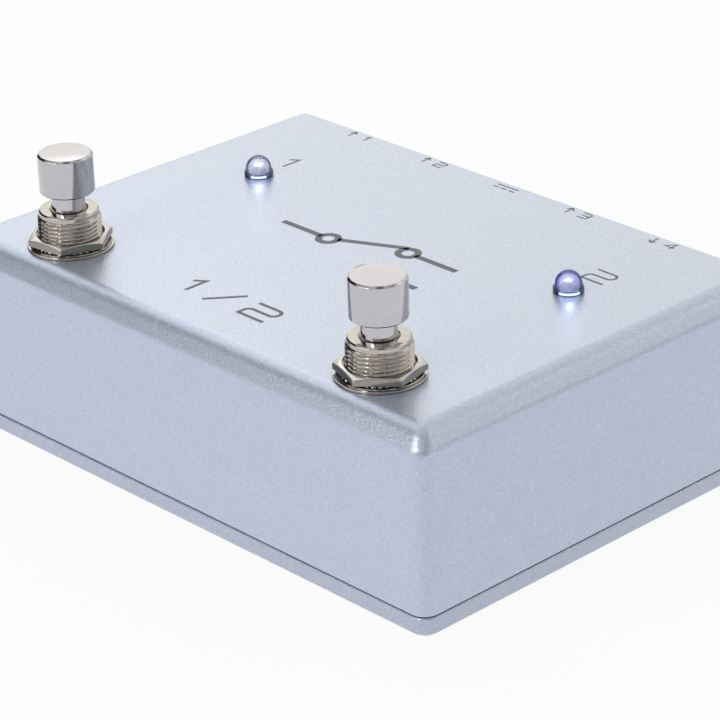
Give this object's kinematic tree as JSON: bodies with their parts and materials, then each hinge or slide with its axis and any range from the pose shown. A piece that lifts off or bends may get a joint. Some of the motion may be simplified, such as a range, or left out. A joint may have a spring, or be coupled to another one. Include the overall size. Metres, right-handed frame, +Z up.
{
  "type": "ab switch pedal",
  "caption": "Low metal pedal box with a bevelled top, chromed foot push-buttons in hex-nutted bushings, clear indicator lamps and a rear row of plug sockets.",
  "frame": {"origin": "centre of the flat underside of the base cover, at the middle of the box's foot", "axes": "+Z up out of the top panel; +X along the front edge, from the left button to the right one; +Y from the buttons to the rear wall with the sockets"},
  "size_m": [0.1282, 0.098, 0.0565],
  "materials": {
    "powder_coat": "fine silver-blue metallic powder coat on a die-cast box",
    "cap_chrome": "polished chrome plate",
    "nickel": "bright nickel plate on turned brass and steel",
    "zinc_steel": "zinc-plated steel",
    "spring_steel": "drawn spring wire",
    "switch_plastic": "moulded thermoset, dark blue",
    "laminate": "brown paper laminate",
    "contact_metal": "tinned and silvered brass",
    "lamp_lens": "clear epoxy",
    "lead_wire": "tinned steel wire",
    "black_plastic": "moulded plastic, black",
    "wire_sleeve": "insulated wire, blue",
    "board": "glass-fibre board with green solder mask",
    "relay_plastic": "moulded plastic, ivory",
    "can": "bare aluminium can",
    "resistor_body": "lacquered, beige"
  },
  "bodies": {
    "box": {"enclosure_body": "powder_coat", "base_cover": "powder_coat", "cover_screws": "zinc_steel", "socket_washers": "zinc_steel", "socket_nuts": "zinc_steel", "switch_bushing_a": "nickel", "switch_nut_a": "nickel", "switch_back_nut_a": "nickel", "switch_washer_a": "nickel", "switch_lock_washer_a": "nickel", "switch_frame_a": "zinc_steel", "return_spring_a": "spring_steel", "switch_housing_a": "switch_plastic", "switch_base_a": "laminate", "switch_terminals_a": "contact_metal", "led_lens_a": "lamp_lens", "led_leads_a": "lead_wire", "led_sleeve_a": "black_plastic", "switch_wires_a": "wire_sleeve", "switch_bushing_b": "nickel", "switch_nut_b": "nickel", "switch_back_nut_b": "nickel", "switch_washer_b": "nickel", "switch_lock_washer_b": "nickel", "switch_frame_b": "zinc_steel", "return_spring_b": "spring_steel", "switch_housing_b": "switch_plastic", "switch_base_b": "laminate", "switch_terminals_b": "contact_metal", "led_lens_b": "lamp_lens", "led_leads_b": "lead_wire", "led_sleeve_b": "black_plastic", "switch_wires_b": "wire_sleeve", "socket_body_output_a": "black_plastic", "tip_spring_output_a": "contact_metal", "socket_body_output_b": "black_plastic", "tip_spring_output_b": "contact_metal", "socket_body_thru": "black_plastic", "tip_spring_thru": "contact_metal", "socket_body_input": "black_plastic", "tip_spring_input": "contact_metal", "sleeve_contacts": "contact_metal", "power_socket_pin": "contact_metal", "power_socket_tabs": "contact_metal", "power_socket_body": "black_plastic", "control_chip": "black_plastic", "circuit_board": "board", "relays": "relay_plastic", "capacitors": "can", "resistors": "resistor_body"},
    "button_a": {"switch_cap_a": "cap_chrome", "switch_plunger_a": "nickel", "contact_carrier_a": "switch_plastic", "moving_contacts_a": "contact_metal"},
    "button_b": {"switch_cap_b": "cap_chrome", "switch_plunger_b": "nickel", "contact_carrier_b": "switch_plastic", "moving_contacts_b": "contact_metal"}
  },
  "joints": [
    {"name": "press_a", "type": "slide", "parent": "box", "child": "button_a", "axis": [0, 0, -1], "range_m": [0, 0.0029], "stiffness_N_per_m": 1500, "springref_m": -0.004, "deforming": ["return_spring_a"]},
    {"name": "press_b", "type": "slide", "parent": "box", "child": "button_b", "axis": [0, 0, -1], "range_m": [0, 0.0029], "stiffness_N_per_m": 1500, "springref_m": -0.004, "deforming": ["return_spring_b"]}
  ]
}
